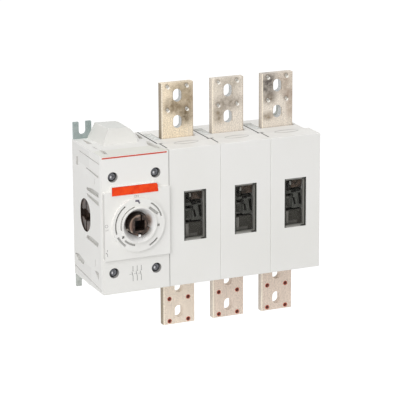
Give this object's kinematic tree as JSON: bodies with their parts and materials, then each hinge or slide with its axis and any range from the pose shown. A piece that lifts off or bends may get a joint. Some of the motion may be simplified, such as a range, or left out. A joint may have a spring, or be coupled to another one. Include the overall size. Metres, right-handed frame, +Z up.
{
  "type": "switch disconnector",
  "caption": "Panel-mounted switch disconnector with flat bar terminals above and below, a front drive socket, a side drive socket and forked fixing feet.",
  "frame": {"origin": "in the mounting plane, at the middle of the housing's width and height", "axes": "+X to the right seen from the front, +Y from the front to the mounting plane, +Z up"},
  "size_m": [0.343, 0.133, 0.366],
  "materials": {
    "housing_plastic": "fine matt moulded plastic, light grey",
    "cover_plastic": "smooth matt moulded plastic, light grey",
    "orange_plastic": "satin orange-red plastic",
    "zinc_steel": "zinc-plated steel",
    "tinned_copper": "tin-plated copper with stains",
    "drive_metal": "dark oiled die-cast metal",
    "window_frame_plastic": "smoky plastic edge",
    "smoky_pane": "smoky clear plastic",
    "chamber_plastic": "dark moulded plastic"
  },
  "bodies": {
    "switch": {"auxiliary_cap": "housing_plastic", "centre_cover": "cover_plastic", "dial_boss": "cover_plastic", "lower_left_foot": "zinc_steel", "lower_panel": "cover_plastic", "lower_right_foot": "zinc_steel", "lower_terminal_1": "tinned_copper", "lower_terminal_2": "tinned_copper", "lower_terminal_3": "tinned_copper", "mechanism_housing": "housing_plastic", "pole_1_base": "housing_plastic", "pole_1_contact_chamber": "chamber_plastic", "pole_1_cover": "cover_plastic", "pole_1_window_frame": "window_frame_plastic", "pole_1_window_pane": "smoky_pane", "pole_2_base": "housing_plastic", "pole_2_contact_chamber": "chamber_plastic", "pole_2_cover": "cover_plastic", "pole_2_window_frame": "window_frame_plastic", "pole_2_window_pane": "smoky_pane", "pole_3_base": "housing_plastic", "pole_3_contact_chamber": "chamber_plastic", "pole_3_cover": "cover_plastic", "pole_3_window_frame": "window_frame_plastic", "pole_3_window_pane": "smoky_pane", "slider": "orange_plastic", "upper_left_foot": "zinc_steel", "upper_panel": "cover_plastic", "upper_right_foot": "zinc_steel", "upper_terminal_1": "tinned_copper", "upper_terminal_2": "tinned_copper", "upper_terminal_3": "tinned_copper"},
    "front_drive": {"front_socket": "drive_metal"},
    "side_drive": {"side_socket": "drive_metal"}
  },
  "joints": [
    {"name": "front_drive_turn", "type": "hinge", "parent": "switch", "child": "front_drive", "pos_m": [-0.12, -0.119, 0], "axis": [0, 1, 0], "range_deg": [0, 90]},
    {"name": "side_drive_turn", "type": "hinge", "parent": "switch", "child": "side_drive", "pos_m": [-0.1715, -0.0505, 0], "axis": [1, 0, 0], "range_deg": [0, 90]}
  ],
  "couplings": [
    {"joint": "side_drive_turn", "follows": "front_drive_turn", "ratio": 1}
  ]
}
